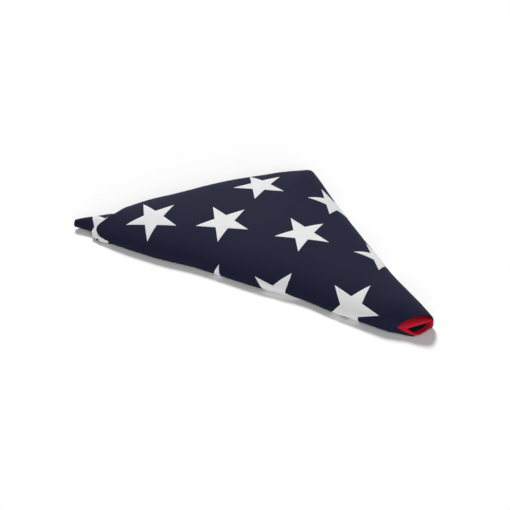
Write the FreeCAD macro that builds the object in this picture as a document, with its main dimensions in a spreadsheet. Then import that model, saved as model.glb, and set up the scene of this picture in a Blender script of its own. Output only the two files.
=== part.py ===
"""A flag folded in thirds along its length and then in triangles, lying flat with its canton outside.

The long front fold runs along X, the square corner points to +Y and the pack lies on z = 0.
"""
import FreeCAD
import Part
import Sketcher
import math
import os

Vector = FreeCAD.Vector
Rotation = FreeCAD.Rotation
Placement = FreeCAD.Placement
Z_AXIS = Vector(0, 0, 1)

# Driving sizes: millimetres, degrees for turns, plain ratios for fullness
SIZES = (
    # Outline of the pack from above, with its corners still sharp
    ("left_run", 188.8),
    ("right_run", 230.1),
    ("fold_height", 199.5),
    ("apex_round", 12.0),
    ("tip_round", 5.0),
    ("left_tip_cut", 13.0),
    ("mouth_cut", 34.0),
    ("mouth_lean", 20.0),
    ("tongue_round", 30.0),
    # Crown of the pack: the widest line, the top, and how fast each side rises
    ("bulge_height", 5.3),
    ("crown_height", 28.5),
    ("crown_reach", 27.7),
    ("crown_ease", 1.08),
    ("foot_inset", 3.5),
    ("left_fullness", 2.7),
    ("right_fullness", 1.2),
    ("front_fullness", 1.45),
    # Folded canton round the striped part: its outer turn, its whole wall and its floor
    ("flap_thick", 1.6),
    ("canton_wall", 3.0),
    ("canton_floor", 2.6),
    # Stars of the canton and the grid that they are sewn on
    ("star_radius", 27.4),
    ("star_waist", 10.5),
    ("star_thick", 0.6),
    ("column_pitch", 58.3),
    ("row_pitch", 48.7),
    ("canton_turn", -37.4),
    ("first_star_x", -0.9),
    ("first_star_y", 72.4),
    ("fold_wrap", 8.0),
    ("tip_star_setback", 8.0),
    # Striped part: a third of the hoist wide, with an open hollow at its right end
    ("strip_width", 270.0),
    ("fold_wall", 2.5),
    ("mouth_recess", 1.2),
    ("hollow_width", 12.0),
    ("hollow_rise", 4.2),
    ("hollow_depth", 44.0),
    # Canvas heading folded in three, and its two grommets
    ("heading_length", 262.0),
    ("heading_width", 38.0),
    ("heading_ply", 0.9),
    ("heading_gap", 1.5),
    ("heading_inset", 15.0),
    ("grommet_inset", 20.0),
    ("grommet_hole", 4.8),
    ("grommet_wall", 0.5),
    ("flange_radius", 9.5),
    ("flange_thick", 0.5),
    ("rim_radius", 6.6),
)

STRIPE_COUNT = 13
STAR_COLUMNS = 6
STAR_ROWS = 6
CORNER_STEPS = 4
UPPER_SHARES = (0.15, 0.33, 0.52, 0.69, 0.83, 0.93, 1.0)
LOWER_SHARES = (1.0, 0.5)

doc = FreeCAD.newDocument("folded_flag")
sheet = doc.addObject("Spreadsheet::Sheet", "sizes")
for line, (alias, value) in enumerate(SIZES, start=1):
    sheet.set("A%d" % line, alias)
    sheet.set("B%d" % line, str(value))
    sheet.setAlias("B%d" % line, alias)
doc.recompute()


def size(alias):
    return float(sheet.get(alias))


# A length that reaches past the pack from anywhere on it
FAR = size("left_run") + size("right_run") + size("fold_height")


# Outline seen from above


def turned(degrees):
    return Vector(math.cos(math.radians(degrees)), math.sin(math.radians(degrees)), 0)


def crossing(point_a, way_a, point_b, way_b):
    gap = point_b - point_a
    along = (gap.x * way_b.y - gap.y * way_b.x) / (way_a.x * way_b.y - way_a.y * way_b.x)
    return point_a + way_a * along


def crown_room():
    return (size("crown_height") - size("bulge_height")) * size("crown_ease")


class Side:
    """One side of the sharp outline, walked anticlockwise with the inside on its left."""

    def __init__(self, start, end, fullness):
        self.start = start
        self.way = (end - start).normalize()
        self.inward = Vector(-self.way.y, self.way.x, 0)
        self.fullness = fullness

    def depth(self, point):
        return (point - self.start).dot(self.inward)

    def moved(self, inset):
        return self.start + self.inward * inset

    def rise(self, depth):
        """Height of the crown at a depth inside this side."""
        share = 1 - math.exp(-max(depth, 0.0) / size("crown_reach"))
        return size("bulge_height") + crown_room() * share ** (1 / self.fullness)

    def inset(self, height):
        """Depth inside this side at which the crown reaches a height."""
        share = (height - size("bulge_height")) / crown_room()
        return -size("crown_reach") * math.log(1 - share ** self.fullness)


def sharp_corners():
    """Left tip, right tip and apex, placed so that the finished pack is centred on the origin."""
    left = Vector(0, 0, 0)
    right = Vector(size("left_run") + size("right_run"), 0, 0)
    apex = Vector(size("left_run"), size("fold_height"), 0)
    mouth_front = right - Vector(size("mouth_cut"), 0, 0)
    mouth_back = crossing(mouth_front, turned(90 - size("mouth_lean")), right, apex - right)
    left_way = (left - apex).normalize()
    right_way = (right - apex).normalize()
    half_angle = left_way.getAngle(right_way) / 2
    bisector = (left_way + right_way).normalize()
    apex_top = apex.y + bisector.y * size("apex_round") / math.sin(half_angle) + size("apex_round")
    shift = Vector((size("left_tip_cut") + mouth_back.x) / 2, apex_top / 2, 0)
    return left - shift, right - shift, apex - shift


LEFT_TIP, RIGHT_TIP, APEX = sharp_corners()
FRONT = Side(LEFT_TIP, RIGHT_TIP, size("front_fullness"))
RIGHT = Side(RIGHT_TIP, APEX, size("right_fullness"))
LEFT = Side(APEX, LEFT_TIP, size("left_fullness"))
SIDES = (FRONT, RIGHT, LEFT)
# Rounding of the corner that ends each side
ROUNDS = (size("tip_round"), size("apex_round"), size("tip_round"))

# Open right end: its front corner, the way along it and the way out of it
MOUTH_FRONT = RIGHT_TIP - Vector(size("mouth_cut"), 0, 0)
MOUTH_ALONG = turned(90 - size("mouth_lean"))
MOUTH_OUT = turned(-size("mouth_lean"))

# Blunt left end, and the end of the round tongue that the outer turn leaves short of it
LEFT_END = LEFT_TIP.x + size("left_tip_cut")
TIP_HALF_ANGLE = (math.pi - LEFT.way.getAngle(FRONT.way)) / 2
TIP_INWARD = (FRONT.way - LEFT.way).normalize()
TONGUE_END = LEFT_TIP + TIP_INWARD * size("tongue_round") * (1 / math.sin(TIP_HALF_ANGLE) - 1)
TONGUE_REACH = size("tongue_round") / math.tan(TIP_HALF_ANGLE)

# Folded edge of the strip, parallel to the left leg, where the outer turn ends above the open tip
STRIP_FOLD = size("strip_width") - size("fold_wall")
LEFT_TURN = math.degrees(math.atan2(LEFT.way.y, LEFT.way.x)) - 180


def nearest_side(point):
    return min(SIDES, key=lambda side: side.depth(point))


def crown_height_at(point):
    return min(side.rise(side.depth(point)) for side in SIDES)


def crown_normal(point):
    step_x, step_y = Vector(1, 0, 0), Vector(0, 1, 0)
    slope_x = crown_height_at(point + step_x) - crown_height_at(point - step_x)
    slope_y = crown_height_at(point + step_y) - crown_height_at(point - step_y)
    return Vector(-slope_x, -slope_y, 2).normalize()


# Shapes that several pieces share


def flat_face(points):
    return Part.Face(Part.makePolygon(points + points[:1]))


def feature(label, shape, place=None):
    obj = doc.addObject("Part::Feature", label)
    obj.Shape = shape
    if place:
        obj.Placement = place
    return obj


def bind(obj, **sizes):
    for name, expression in sizes.items():
        obj.setExpression(name, expression)
    return obj


def cut(label, base, tool):
    result = doc.addObject("Part::Cut", label)
    result.Base, result.Tool = base, tool
    return result


def common(label, *shapes):
    result = doc.addObject("Part::MultiCommon", label)
    result.Shapes = list(shapes)
    return result


def fuse(label, *shapes):
    result = doc.addObject("Part::MultiFuse", label)
    result.Shapes = list(shapes)
    result.Refine = True
    return result


def block(label, length, width, height, corner, turn=0.0):
    """A box with its sizes bound to the sheet, standing on a corner and turned about Z."""
    box = bind(doc.addObject("Part::Box", label), Length=length, Width=width, Height=height)
    box.Placement = Placement(corner, Rotation(Z_AXIS, turn))
    return box


def rod(label, radius, length, place):
    """A cylinder with its sizes bound to the sheet."""
    cylinder = bind(doc.addObject("Part::Cylinder", label), Radius=radius, Height=length)
    cylinder.Placement = place
    return cylinder


def half_space(label, corner, turn):
    """A block larger than the pack, beyond a face through a corner and turned about Z."""
    start = corner - turned(turn + 90) * FAR / 2 - Z_AXIS * FAR / 2
    return block(label, str(FAR), str(FAR), str(FAR), start, turn)


def band(label, start, end, floor=-FAR / 2):
    """Block over the pack between two distances from the left leg, above a floor."""
    corner = LEFT.moved(end) - turned(LEFT_TURN) * FAR + Z_AXIS * floor
    return block(label, str(2 * FAR), str(end - start), str(FAR), corner, LEFT_TURN)


def level_ring(height, insets):
    """Corners of the pack's outline at one height, each rounded by a few straight steps."""
    ring = []
    for index, side in enumerate(SIDES):
        after = SIDES[(index + 1) % 3]
        after_inset = insets[(index + 1) % 3]
        point = crossing(side.moved(insets[index]), side.way, after.moved(after_inset), after.way)
        turn = side.way.getAngle(after.way)
        inward = (after.way - side.way).normalize()
        centre = point + inward * (ROUNDS[index] / math.cos(turn / 2))
        spoke = side.inward * -ROUNDS[index]
        for step in range(CORNER_STEPS + 1):
            swing = Rotation(Z_AXIS, math.degrees(turn * step / CORNER_STEPS))
            ring.append(centre + swing.multVec(spoke) + Z_AXIS * height)
    return ring


def pillow(label, levels):
    """Crowned solid with flat facets between levels given as (height, insets of the three sides)."""
    rings = [level_ring(height, insets) for height, insets in levels]
    faces = [flat_face(rings[0]), flat_face(rings[-1])]
    for low, high in zip(rings, rings[1:]):
        for index in range(len(low)):
            after = (index + 1) % len(low)
            faces.append(flat_face([low[index], low[after], high[after], high[index]]))
    return feature(label, Part.Solid(Part.Shell(faces)))


def upper_levels(grow):
    """Levels from the widest line up, for a pack grown by so much all round."""
    bulge, top = size("bulge_height"), size("crown_height")
    levels = [(bulge, [-grow] * 3)]
    for share in UPPER_SHARES:
        height = bulge + share * (top - bulge)
        levels.append((height + share * grow, [side.inset(height) - grow for side in SIDES]))
    return levels


def crown_levels(grow, floor):
    """All levels of the pack, from its flat underside at a floor height to its top."""
    bulge = size("bulge_height")
    levels = []
    for share in LOWER_SHARES:
        inset = size("foot_inset") * (1 - math.sqrt(1 - share * share)) - grow
        levels.append((bulge - share * (bulge - floor), [inset] * 3))
    return levels + upper_levels(grow)


def ply_levels(share):
    """Levels of a solid whose top parts the striped plies at a share of their height."""
    floor, spread = size("canton_floor"), 2 * size("canton_wall")
    levels = []
    for height, insets in upper_levels(-size("canton_wall")):
        levels.append((floor + share * (height - floor), [inset - spread for inset in insets]))
    return [(-floor, levels[0][1])] + levels


# Canton: the outer turn with its tongue, the tip of the turn inside it, hollow for the striped part


def tongue_tool():
    """Prism over the left tip that leaves a round tongue of the outer turn."""
    back = LEFT_TIP - LEFT.way * TONGUE_REACH
    front = LEFT_TIP + FRONT.way * TONGUE_REACH
    beyond = LEFT_TIP - TIP_INWARD * 2 * FAR
    path = [front, front - FRONT.inward * FAR, beyond, back - LEFT.inward * FAR, back]
    edges = [Part.makeLine(start, end) for start, end in zip(path, path[1:])]
    edges.append(Part.Arc(back, TONGUE_END, front).toShape())
    solid = Part.Face(Part.Wire(edges)).extrude(Z_AXIS * FAR)
    return feature("tongue_tool", solid, Placement(Z_AXIS * -FAR / 2, Rotation()))


def left_end_tool(label, recess):
    """Everything beyond the blunt left end, or beyond a face set back inside it."""
    return half_space(label, Vector(LEFT_END + recess, LEFT_TIP.y, 0), 180)


def mouth_tool(label, recess):
    """Everything beyond the open right end, or beyond a face set back inside it."""
    return half_space(label, MOUTH_FRONT - MOUTH_OUT * recess, -size("mouth_lean"))


outer = pillow("outer_crown", crown_levels(0.0, 0.0))
inner = pillow("inner_crown", crown_levels(-size("flap_thick"), 0.0))
cavity = pillow("cavity_crown", crown_levels(-size("canton_wall"), size("canton_floor")))
flap_end = band("flap_end", STRIP_FOLD, FAR, size("canton_floor"))
right_tools = fuse("right_tools", mouth_tool("mouth_end", 0.0), flap_end)
outer_turn = cut("outer_turn", cut("outer_tongue", outer, tongue_tool()), right_tools)
tip_corner = Vector(LEFT_END, LEFT_TIP.y - FAR / 2, -FAR / 2)
tip_block = block("tip_block", str(TONGUE_REACH), str(FAR), str(FAR), tip_corner)
sleeve = fuse("sleeve", outer_turn, common("inner_tip", inner, tip_block))
cavity_room = cut("cavity_room", cavity, left_end_tool("cavity_end", 2 * size("canton_wall")))
hollow_sleeve = cut("hollow_sleeve", sleeve, cavity_room)
sub_parts = []


# Stars: sewn on the canton's columns and rows at every second place


def star_tool(label, centre, normal, turn, below, above):
    """Star-shaped prism along a normal, with one point at the given turn seen from above."""
    heading = turned(turn)
    up = (heading - normal * heading.dot(normal)).normalize()
    side = normal.cross(up)
    points = []
    for index in range(10):
        angle = math.radians(36 * index)
        reach = size("star_waist") if index % 2 else size("star_radius")
        points.append(centre - normal * below + (up * math.cos(angle) + side * math.sin(angle)) * reach)
    return feature(label, flat_face(points).extrude(normal * (below + above)))


def canton_place(column, row):
    along = turned(size("canton_turn") - 90) * column * size("column_pitch")
    across = turned(size("canton_turn")) * row * size("row_pitch")
    return Vector(size("first_star_x"), size("first_star_y"), 0) + along + across


def crown_place(point):
    """Centre and normal of a star on the crown; past an edge the star slides down that edge."""
    side = nearest_side(point)
    slide = max(size("foot_inset") - side.depth(point), 0.0)
    inside = point + side.inward * slide
    normal = crown_normal(inside)
    down = (normal * side.inward.dot(normal) - side.inward).normalize()
    return inside + Z_AXIS * crown_height_at(inside) + down * slide, normal


UP_TURN = size("canton_turn") + 180
STAR_REACH = size("crown_height") / 2
star_crown = pillow("star_crown", crown_levels(size("star_thick"), size("star_thick")))
star_skin = cut("star_skin", star_crown, outer)
places = [(column, row) for column in range(STAR_COLUMNS) for row in range(STAR_ROWS) if (column + row) % 2]

for column, row in places:
    place = canton_place(column, row)
    edge_depth = nearest_side(place).depth(place)
    mouth_depth = (MOUTH_FRONT - place).dot(MOUTH_OUT)
    if edge_depth > -size("star_radius") / 2 and mouth_depth > size("star_radius") / 2:
        name = "%d_%d" % (column, row)
        centre, normal = crown_place(place)
        tool = star_tool("top_tool_" + name, centre, normal, UP_TURN, STAR_REACH, STAR_REACH)
        sub_parts.append(common("star_top_" + name, star_skin, tool))

# Stars of the underside: places past the front fold, mirrored by it and sunk flush with the floor
under_tools = []
for column, row in places:
    past = canton_place(column, row)
    mirrored = past + FRONT.inward * (-2 * FRONT.depth(past) - size("fold_wrap"))
    edge_depth = nearest_side(mirrored).depth(mirrored)
    if FRONT.depth(past) < -size("star_radius") and edge_depth > size("foot_inset"):
        name = "%d_%d" % (column, row)
        tool = star_tool("under_tool_" + name, mirrored, Z_AXIS, -UP_TURN, 0.0, size("star_thick"))
        under_tools.append(tool)
        sub_parts.append(common("star_under_" + name, outer_turn, tool))
sub_parts.append(cut("canton", hollow_sleeve, fuse("under_tools", *under_tools)))

# Star of the turn inside, showing past the tongue with a notch along the tip
tip_levels = crown_levels(size("star_thick") - size("flap_thick"), size("star_thick"))
tip_crown = pillow("tip_star_crown", tip_levels)
tip_skin = cut("tip_skin", common("tip_crown_end", tip_crown, tip_block), sleeve)
tip_place = TONGUE_END + TIP_INWARD * size("tip_star_setback")
tip_turn = math.degrees(math.atan2(-TIP_INWARD.y, -TIP_INWARD.x)) + 36
tip_tool = star_tool("tip_star_tool", tip_place, Z_AXIS, tip_turn, 0.0, 2 * size("crown_height"))
sub_parts.append(common("star_left_tip", tip_skin, tip_tool))


# Canvas heading, folded in three behind the front fold
PLY, GAP = size("heading_ply"), size("heading_gap")
HEADING_LEFT = (MOUTH_FRONT.x + LEFT_END - size("heading_length")) / 2
HEADING_FRONT = LEFT_TIP.y + size("heading_inset")


def ply_floor(level):
    return size("canton_floor") + level * (PLY + GAP)


def heading_ply(label, level, trim_left, trim_right):
    length = "sizes.heading_length - %d * sizes.heading_gap" % (trim_left + trim_right)
    corner = Vector(HEADING_LEFT + trim_left * GAP, HEADING_FRONT, ply_floor(level))
    return block(label, length, "sizes.heading_width", "sizes.heading_ply", corner)


def heading_fold(label, at_left, inner_radius, height):
    """Half ring of canvas that joins two plies at one end."""
    place = Vector(HEADING_LEFT, HEADING_FRONT, height)
    swing = 90
    if not at_left:
        place.x += size("heading_length")
        swing = -90
    way = Rotation(Vector(1, 0, 0), -90) * Rotation(Z_AXIS, swing)
    halves = []
    for name, radius in (("out", inner_radius + " + sizes.heading_ply"), ("in", inner_radius)):
        half = rod(label + "_" + name, radius, "sizes.heading_width", Placement(place, way))
        half.Angle = 180
        halves.append(half)
    return cut(label, *halves)


heading_cloth = fuse(
    "heading_cloth",
    heading_ply("heading_low", 0, 0, 0),
    heading_ply("heading_middle", 1, 0, 1),
    heading_ply("heading_high", 2, 1, 0),
    heading_fold("near_fold", True, "sizes.heading_gap / 2", ply_floor(1) - GAP / 2),
    heading_fold("far_fold", False, "sizes.heading_gap + sizes.heading_ply / 2", ply_floor(1) + PLY / 2),
)


# Grommets: one through the upper ply near its free end, one through the middle ply near its own


def turned_ring(label, corners, place):
    """Ring turned from a profile whose corners are sheet expressions for radius and height."""
    body = doc.addObject("PartDesign::Body", label)
    sketch = body.newObject("Sketcher::SketchObject", label + "_profile")
    plane = [datum for datum in body.Origin.OriginFeatures if datum.Role == "XZ_Plane"][0]
    sketch.AttachmentSupport = [(plane, "")]
    sketch.MapMode = "FlatFace"
    count = len(corners)
    rough = [Vector(10 + index, index * index, 0) for index in range(count + 1)]
    for index in range(count):
        sketch.addGeometry(Part.LineSegment(rough[index], rough[index + 1]), False)
    for index, (radius, height) in enumerate(corners):
        sketch.addConstraint(Sketcher.Constraint("Coincident", (index - 1) % count, 2, index, 1))
        across = sketch.addConstraint(Sketcher.Constraint("DistanceX", -1, 1, index, 1, rough[index].x))
        sketch.setExpression("Constraints[%d]" % across, radius)
        up = sketch.addConstraint(Sketcher.Constraint("DistanceY", -1, 1, index, 1, rough[index].y))
        sketch.setExpression("Constraints[%d]" % up, height)
    ring = body.newObject("PartDesign::Revolution", label + "_turned")
    ring.Profile = sketch
    ring.ReferenceAxis = (sketch, ["V_Axis"])
    ring.Angle = 360
    body.Placement = Placement(place, Rotation())
    return body


HOLE = "sizes.grommet_hole"
BARREL = "(sizes.grommet_hole + sizes.grommet_wall)"
RIM = "sizes.rim_radius"
FLANGE = "sizes.flange_radius"
FLANGE_TOP = "sizes.flange_thick"
PLY_FOOT = "-sizes.heading_ply"
WASHER_FOOT = "-(sizes.heading_ply + sizes.flange_thick)"
RIM_FOOT = "-(sizes.heading_ply + sizes.flange_thick + sizes.grommet_wall)"
EYELET = (
    (HOLE, RIM_FOOT), (RIM, RIM_FOOT), (RIM, WASHER_FOOT), (BARREL, WASHER_FOOT),
    (BARREL, "0"), (FLANGE, "0"), (FLANGE, FLANGE_TOP), (HOLE, FLANGE_TOP),
)
WASHER = ((BARREL, WASHER_FOOT), (FLANGE, WASHER_FOOT), (FLANGE, PLY_FOOT), (BARREL, PLY_FOOT))
GROMMETS = (
    ("grommet_upper", 2, HEADING_LEFT + size("grommet_inset")),
    ("grommet_lower", 1, HEADING_LEFT + size("heading_length") - size("grommet_inset")),
)

drills = []
for label, level, place_x in GROMMETS:
    place = Vector(place_x, HEADING_FRONT + size("heading_width") / 2, ply_floor(level) + PLY)
    sub_parts.append(turned_ring(label + "_eyelet", EYELET, place))
    sub_parts.append(turned_ring(label + "_washer", WASHER, place))
    drill_place = Placement(place - Z_AXIS * PLY, Rotation())
    drills.append(rod(label + "_drill", BARREL, "sizes.heading_ply", drill_place))
sub_parts.append(cut("heading", heading_cloth, fuse("heading_holes", *drills)))

# Striped part: fills the canton around the heading's pocket, in three plies that follow the crown
POCKET_HEIGHT = "3 * sizes.heading_ply + 2 * sizes.heading_gap + sizes.flange_thick"
FOLD_ROOM = 2 * (PLY + GAP)
POCKET_RIGHT = HEADING_LEFT + size("heading_length") + FOLD_ROOM


def pocket_block(label, left, width):
    """Room for the heading from a left end to past its right fold, open to the front."""
    corner = Vector(left, LEFT_TIP.y, size("canton_floor"))
    return block(label, str(POCKET_RIGHT - left), width, POCKET_HEIGHT, corner)


pocket = fuse(
    "heading_pocket",
    pocket_block("pocket_room", HEADING_LEFT - FOLD_ROOM, "sizes.heading_inset + sizes.heading_width"),
    pocket_block("front_gap", LEFT_END, "sizes.heading_inset"),
)
striped_end = cut("striped_end", cavity_room, mouth_tool("stripe_end", size("mouth_recess")))
striped = cut("striped_part", striped_end, pocket)
low_ply = pillow("low_ply", ply_levels(1 / 3))
high_ply = pillow("high_ply", ply_levels(2 / 3))
# Thirds of the hoist from the top ply down, and whether each runs from the mouth to the left leg
THIRDS = (
    (cut("top_third", striped, high_ply), False),
    (common("middle_third", striped, low_ply), True),
    (cut("bottom_third", common("upper_plies", striped, high_ply), low_ply), False),
)


def stripe_band(number, third):
    """Where a stripe lies in a third of the hoist, in distances from the left leg, or None."""
    start = max((number - 1) * 3 / STRIPE_COUNT - third, 0.0)
    end = min(number * 3 / STRIPE_COUNT - third, 1.0)
    if start >= end:
        return None
    if THIRDS[third][1]:
        start, end = 1 - end, 1 - start
    low = -FAR if start == 0 else start * size("strip_width")
    high = FAR if end == 1 else end * size("strip_width")
    # The bottom third ends inside the fold that the other two make at the mouth
    return low, min(high, STRIP_FOLD) if third == 2 else high


hollow = bind(
    doc.addObject("Part::Ellipsoid", "mouth_hollow"),
    Radius1="sizes.hollow_rise", Radius2="sizes.hollow_depth", Radius3="sizes.hollow_width",
)
hollow_middle = MOUTH_FRONT + MOUTH_ALONG * size("hollow_width")
hollow_middle.z = size("bulge_height") + size("hollow_rise") / 2
hollow.Placement = Placement(hollow_middle, Rotation(Z_AXIS, LEFT_TURN - 90 + size("mouth_lean") / 2))

for number in range(1, STRIPE_COUNT + 1):
    label = "stripe_%02d_%s" % (number, "red" if number % 2 else "white")
    bands = [(ply, stripe_band(number, third)) for third, (ply, from_mouth) in enumerate(THIRDS)]
    bands = [(ply, ends) for ply, ends in bands if ends]
    folds_at_mouth = len(bands) > 1 and bands[0][0] is THIRDS[0][0]
    if folds_at_mouth:
        bands.append((THIRDS[2][0], (STRIP_FOLD, FAR)))
    pieces = []
    for index, (ply, (low, high)) in enumerate(bands):
        name = "%s_%d" % (label, index)
        pieces.append(common(name, ply, band(name + "_band", low, high)))
    stripe = fuse(label + "_joined", *pieces) if len(pieces) > 1 else pieces[0]
    if folds_at_mouth or number == STRIPE_COUNT:
        stripe = cut(label + "_open", stripe, hollow)
    stripe.Label = label
    sub_parts.append(stripe)

# Build everything, check it and write each piece
doc.recompute()
for obj in doc.Objects:
    if "Invalid" in obj.State or "Error" in obj.State:
        raise RuntimeError("%s did not build" % obj.Label)
for part in sub_parts:
    if part.Shape.isNull() or not part.Shape.isValid():
        raise RuntimeError("%s has no valid shape" % part.Label)
os.makedirs("parts", exist_ok=True)
for part in sub_parts:
    part.Shape.exportStep("parts/%s.step" % part.Label)
    print(part.Label, len(part.Shape.Solids), round(part.Shape.Volume))
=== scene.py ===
"""Dresses a folded flag: a crowned navy canton with sewn stars and a red fold showing in its open tip."""
import math
from functools import cache

import bpy
import numpy as np
from mathutils import Matrix, Vector, noise
from mathutils.bvhtree import BVHTree


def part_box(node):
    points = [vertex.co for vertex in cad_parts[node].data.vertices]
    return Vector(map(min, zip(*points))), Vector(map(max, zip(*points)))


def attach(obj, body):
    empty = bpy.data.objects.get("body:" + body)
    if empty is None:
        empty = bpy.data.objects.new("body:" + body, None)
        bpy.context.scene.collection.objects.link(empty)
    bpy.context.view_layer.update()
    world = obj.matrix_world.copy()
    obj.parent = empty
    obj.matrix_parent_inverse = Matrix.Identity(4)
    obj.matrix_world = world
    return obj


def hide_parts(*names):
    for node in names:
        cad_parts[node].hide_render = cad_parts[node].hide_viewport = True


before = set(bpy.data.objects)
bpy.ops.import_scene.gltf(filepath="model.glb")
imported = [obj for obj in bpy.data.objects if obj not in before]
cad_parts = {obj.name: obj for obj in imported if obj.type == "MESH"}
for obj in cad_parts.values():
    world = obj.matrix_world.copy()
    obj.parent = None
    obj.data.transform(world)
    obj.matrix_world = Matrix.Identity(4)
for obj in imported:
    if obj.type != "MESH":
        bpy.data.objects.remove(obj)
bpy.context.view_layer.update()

bl_info = {
    "name": "Folded Flag",
    "version": (1, 0, 0),
    "blender": (4, 5, 0),
    "location": "View3D > Sidebar > Folded Flag",
    "description": "Cloth, stars and stage of a flag folded into a triangle",
    "category": "Object",
}

MM = 0.001
BODY = "root"


# Settings that a user would change


def length(label, default, note):
    """A length in metres whose default is written in millimetres."""
    return bpy.props.FloatProperty(
        name=label, default=default * MM, description=note, subtype="DISTANCE", unit="LENGTH", precision=5
    )


def ratio(label, default, note):
    return bpy.props.FloatProperty(name=label, default=default, description=note)


def turning(label, default, note):
    """An angle whose default is written in degrees."""
    return bpy.props.FloatProperty(
        name=label, default=math.radians(default), description=note, subtype="ANGLE"
    )


def colour(label, default, note):
    return bpy.props.FloatVectorProperty(
        name=label, default=default, description=note, subtype="COLOR", size=3, min=0, max=1
    )


class FoldedPackShape(bpy.types.PropertyGroup):
    """Sizes of the folded pack."""

    left_run: length("Left run", 188.8, "Front fold from the sharp left tip to below the apex")
    right_run: length("Right run", 230.1, "Front fold from below the apex to the sharp right tip")
    fold_height: length("Fold height", 199.5, "From the front fold to the sharp apex")
    left_tip_cut: length("Left tip cut", 13, "Sharp left tip that the blunt end leaves off")
    tip_length: length("Tip length", 75, "How much of the turn inside is made")
    mouth_cut: length("Mouth cut", 34, "Sharp right tip that the open end leaves off")
    mouth_lean: turning("Mouth lean", 20, "Turn of the open end's edge")
    strip_fold: length("Strip fold", 267.5, "From the left leg to the fold at the open tip")
    bulge_height: length("Bulge height", 5.3, "Height of the widest line")
    crown_height: length("Crown height", 28.5, "Height of the crown")
    crown_reach: length("Crown reach", 27.7, "How far inside an edge the crown rises")
    crown_ease: ratio("Crown ease", 1.08, "How much the crown rises past its height far inside")
    foot_inset: length("Foot inset", 3.5, "How far the underside draws in below the widest line")
    fullness: ratio("Fullness", 1.0, "How steep the sides are, as a share of the pack's own")
    left_bow: length("Left bow", 3, "How far the left leg bows out")
    flap_gap: length("Flap gap", 1.6, "From the outer turn's face to the turn inside")
    cloth: length("Cloth", 1.0, "Thickness of the outer turn with its lining")
    wrinkle: length("Wrinkle", 0.5, "Height of the cloth's soft waves")


class FoldedStarShape(bpy.types.PropertyGroup):
    """Sizes of the sewn stars and of the grid that they are sewn on."""

    radius: length("Radius", 27.4, "From a star's centre to its points")
    waist: length("Waist", 10.5, "From a star's centre to its notches")
    rise: length("Rise", 0.55, "How far the stitching stands above the cloth")
    column_pitch: length("Column pitch", 58.3, "Between the columns")
    row_pitch: length("Row pitch", 48.7, "Between the rows")
    first_x: length("First star along", -0.9, "Place of the grid's first star along the front fold")
    first_y: length("First star across", 72.4, "Place of the grid's first star across the pack")
    turn: turning("Turn", -37.4, "Turn of the star rows")
    tip_x: length("Tip star along", -153.2, "Place of the star below the tongue, along the front fold")
    tip_y: length("Tip star across", -89.6, "Place of the star below the tongue, across the pack")
    tip_waist: length("Tip star waist", 12.4, "From its centre to its notches, where the cloth is pulled")
    tip_turn: turning("Tip star turn", 190, "Way its notch points")


class FoldedFlagColours(bpy.types.PropertyGroup):
    """Cloth and stage colours."""

    navy: colour("Navy", (0.0118, 0.0138, 0.0382), "Canton cloth")
    star: colour("Star", (0.80, 0.80, 0.81), "Star thread")
    red: colour("Red", (0.62, 0.012, 0.030), "Red stripes")
    white: colour("White", (0.80, 0.79, 0.76), "White stripes")
    canvas: colour("Canvas", (0.70, 0.66, 0.56), "Heading canvas")
    brass: colour("Brass", (0.72, 0.50, 0.20), "Grommets")
    floor: colour("Floor", (0.80, 0.80, 0.80), "Floor")


# Shader nodes written as expressions


class Wire:
    """A socket with arithmetic: an expression on wires adds Math nodes."""

    def __init__(self, shader, socket):
        self.shader = shader
        self.socket = socket

    def out(self, name):
        """Another output of the same node."""
        return Wire(self.shader, self.socket.node.outputs[name])

    def math(self, operation, *others):
        sockets = dict(enumerate((self, *others)))
        return self.shader.node("ShaderNodeMath", {"operation": operation}, sockets)

    def __add__(self, other):
        return self.math("ADD", other)

    def __mul__(self, other):
        return self.math("MULTIPLY", other)

    __radd__ = __add__
    __rmul__ = __mul__


# Numbers of a Mix node's sockets for colours, whose names its other sockets share
MIX_SHARE = 0
MIX_FIRST = 6
MIX_SECOND = 7
MIX_RESULT = 2


class Shader:
    """Node tree of one material or world."""

    def __init__(self, owner, output="ShaderNodeOutputMaterial"):
        owner.use_nodes = True
        self.owner = owner
        self.tree = owner.node_tree
        self.tree.nodes.clear()
        self.output = self.tree.nodes.new(output)

    def node(self, kind, settings, sockets, out=0):
        """Adds a node, sets it up, then fills its sockets by name or number."""
        made = self.tree.nodes.new(kind)
        for key, value in settings.items():
            setattr(made, key, value)
        for key, value in sockets.items():
            self.fill(made.inputs[key], value)
        return Wire(self, made.outputs[out])

    def fill(self, socket, value):
        if isinstance(value, Wire):
            self.tree.links.new(value.socket, socket)
        else:
            socket.default_value = value

    def place(self):
        return self.node("ShaderNodeTexCoord", {}, {}, "Object")

    def uv(self, layer):
        return self.node("ShaderNodeUVMap", {"uv_map": layer}, {})

    def noise(self, vector, scale, detail=3.0):
        return self.node("ShaderNodeTexNoise", {}, {"Vector": vector, "Scale": scale, "Detail": detail})

    def mix(self, share, first, second):
        """Blends two colours."""
        sockets = {MIX_SHARE: share, MIX_FIRST: first, MIX_SECOND: second}
        return self.node("ShaderNodeMix", {"data_type": "RGBA"}, sockets, MIX_RESULT)

    def threads(self, vector, pitch, turn):
        """Waves of yarn, one way and across it, from 0 to 1, with a pitch in metres."""
        sockets = {"Vector": vector, "Rotation": (0, 0, turn)}
        turned = self.node("ShaderNodeMapping", {"vector_type": "POINT"}, sockets)
        parts = self.node("ShaderNodeSeparateXYZ", {}, {"Vector": turned})
        waves = []
        for axis in ("X", "Y"):
            phase = parts.out(axis) * (2 * math.pi / pitch)
            waves.append(phase.math("SINE") * 0.5 + 0.5)
        return waves

    def finish(self, surface):
        self.fill(self.output.inputs["Surface"], surface)
        return self.owner


WHITE = (1.0, 1.0, 1.0, 1.0)


def rgba(value):
    return (*value, 1.0)


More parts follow.
